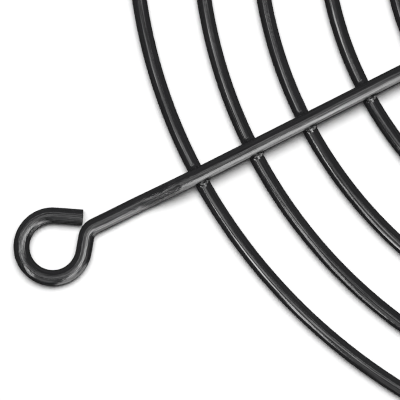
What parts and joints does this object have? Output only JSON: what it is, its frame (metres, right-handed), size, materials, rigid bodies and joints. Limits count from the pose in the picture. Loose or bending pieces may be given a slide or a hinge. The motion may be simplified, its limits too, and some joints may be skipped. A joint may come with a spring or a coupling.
{
  "type": "wire fan guard",
  "caption": "Flat guard for a cooling fan: concentric ring wires welded under radial spoke wires, each spoke stepped down and curled into an open screw eye.",
  "frame": {"origin": "centre of the rings, on the plane that the undersides of the rings and eyes lie on", "axes": "+Z from that plane towards the spoke side, +X and +Y along the sides of the square of screw eyes"},
  "size_m": [0.1164, 0.1164, 0.003],
  "materials": {
    "ring_wire": "gloss",
    "spoke_wire": "gloss"
  },
  "bodies": {
    "root": {"outer_ring": "ring_wire", "ring_2": "ring_wire", "ring_3": "ring_wire", "ring_4": "ring_wire", "ring_5": "ring_wire", "ring_6": "ring_wire", "ring_7": "ring_wire", "inner_ring": "ring_wire", "spoke_right_rear": "spoke_wire", "spoke_left_rear": "spoke_wire", "spoke_left_front": "spoke_wire", "spoke_right_front": "spoke_wire"}
  },
  "joints": []
}
